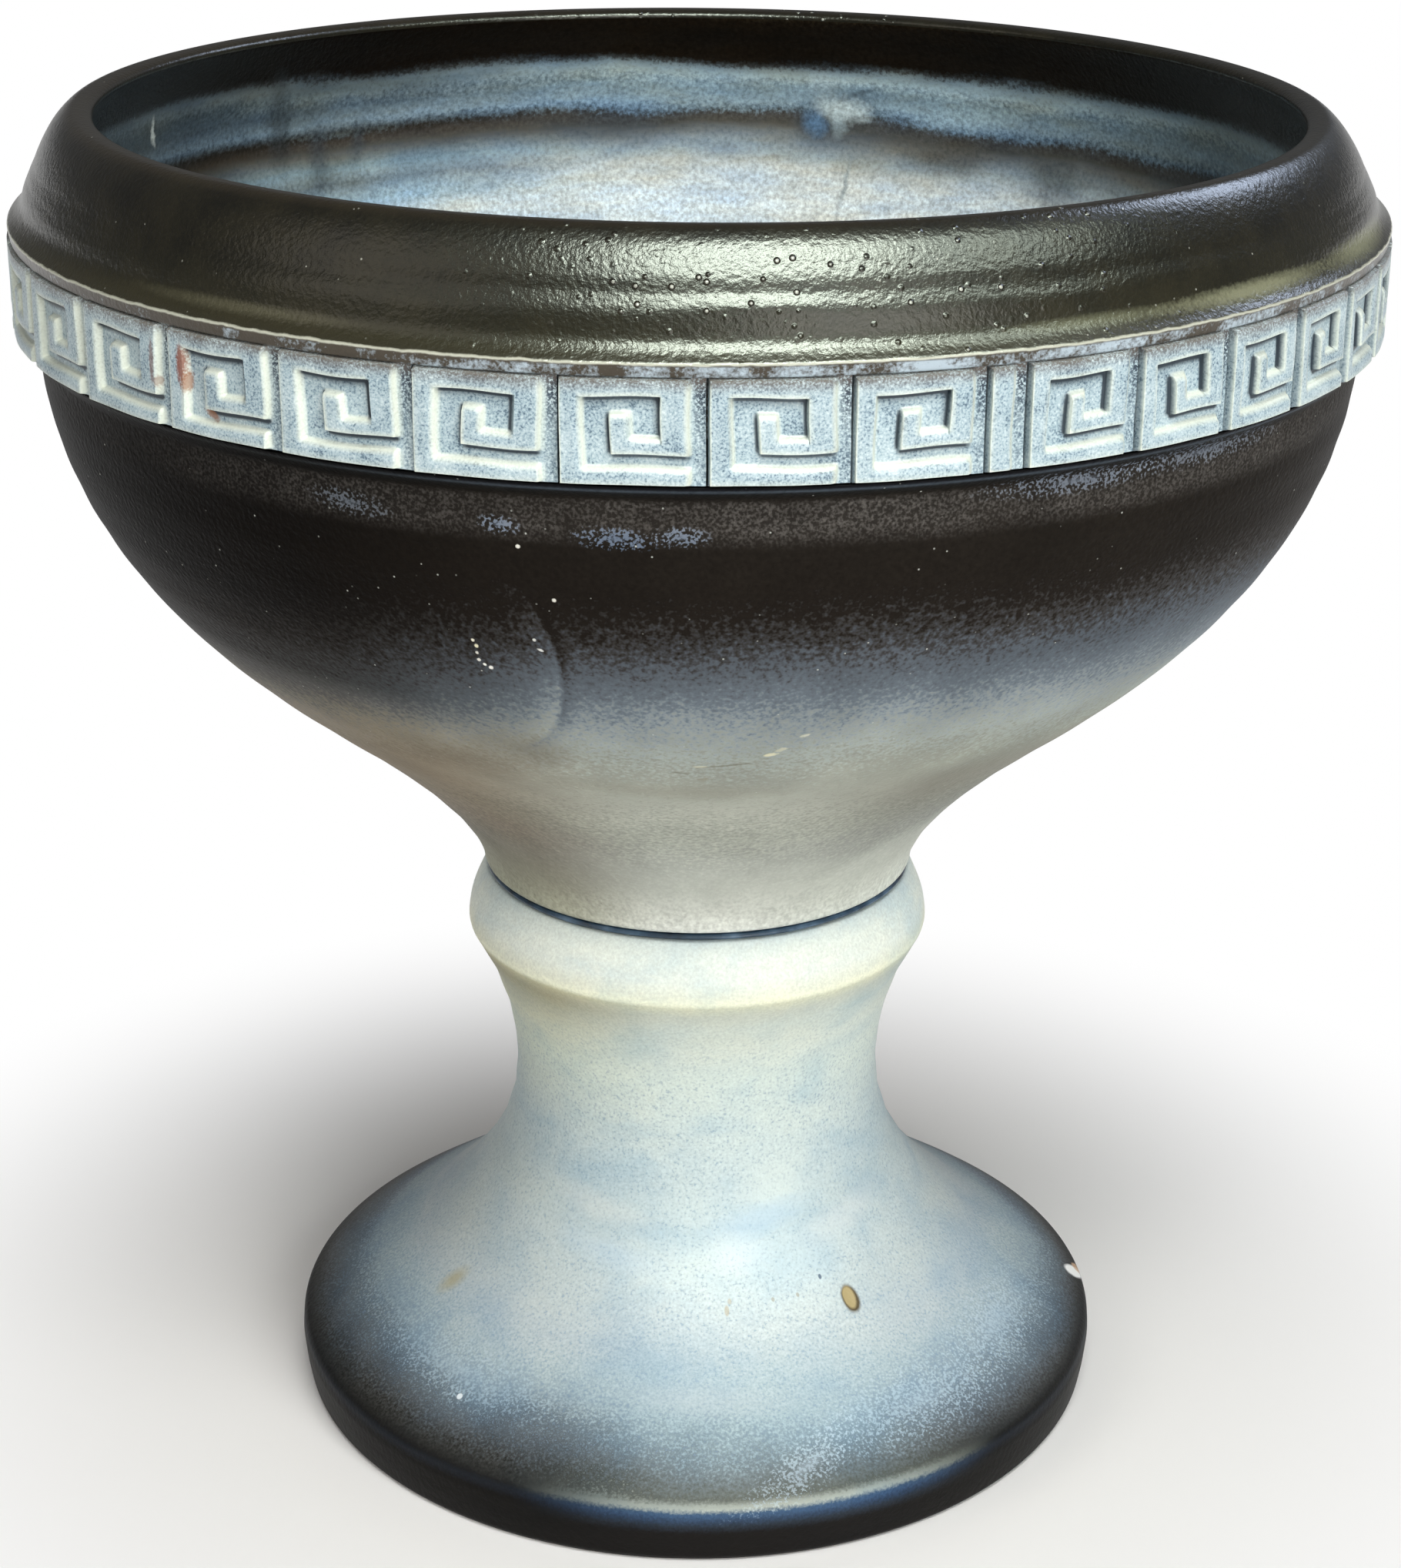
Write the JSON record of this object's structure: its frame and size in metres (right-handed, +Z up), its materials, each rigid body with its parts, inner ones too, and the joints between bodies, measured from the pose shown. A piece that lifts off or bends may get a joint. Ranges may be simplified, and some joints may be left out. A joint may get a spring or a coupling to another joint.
{
  "type": "ceramic pedestal bowl",
  "caption": "Footed stoneware bowl with an incurved rim, a raised band of square key-pattern relief tiles, a collared stem and a flared hollow foot; holds plants or fruit",
  "frame": {"origin": "centre of the foot's flat underside, on the vessel's axis", "axes": "+Z up along the vessel's axis; -Y faces the viewer of the picture, where a tile joint lies; +X to the viewer's right"},
  "size_m": [0.232, 0.232, 0.241],
  "materials": {
    "bowl_glaze": "satin",
    "pedestal_glaze": "satin",
    "joint_slip": "satin",
    "tile_glaze": "satin"
  },
  "bodies": {
    "root": {"bowl": "bowl_glaze", "pedestal": "pedestal_glaze", "luting_ring": "joint_slip", "filler_strip": "tile_glaze", "key_tile_01": "tile_glaze", "key_tile_02": "tile_glaze", "key_tile_03": "tile_glaze", "key_tile_04": "tile_glaze", "key_tile_05": "tile_glaze", "key_tile_06": "tile_glaze", "key_tile_07": "tile_glaze", "key_tile_08": "tile_glaze", "key_tile_09": "tile_glaze", "key_tile_10": "tile_glaze", "key_tile_11": "tile_glaze", "key_tile_12": "tile_glaze", "key_tile_13": "tile_glaze", "key_tile_14": "tile_glaze", "key_tile_15": "tile_glaze", "key_tile_16": "tile_glaze", "key_tile_17": "tile_glaze", "key_tile_18": "tile_glaze", "key_tile_19": "tile_glaze", "key_tile_20": "tile_glaze", "key_tile_21": "tile_glaze", "key_tile_22": "tile_glaze", "key_tile_23": "tile_glaze", "key_tile_24": "tile_glaze", "key_tile_25": "tile_glaze", "key_tile_26": "tile_glaze", "key_tile_27": "tile_glaze", "key_tile_28": "tile_glaze", "key_tile_29": "tile_glaze", "key_tile_30": "tile_glaze", "key_tile_31": "tile_glaze", "key_tile_32": "tile_glaze", "key_tile_33": "tile_glaze", "key_tile_34": "tile_glaze", "key_tile_35": "tile_glaze", "key_tile_36": "tile_glaze"}
  },
  "joints": []
}
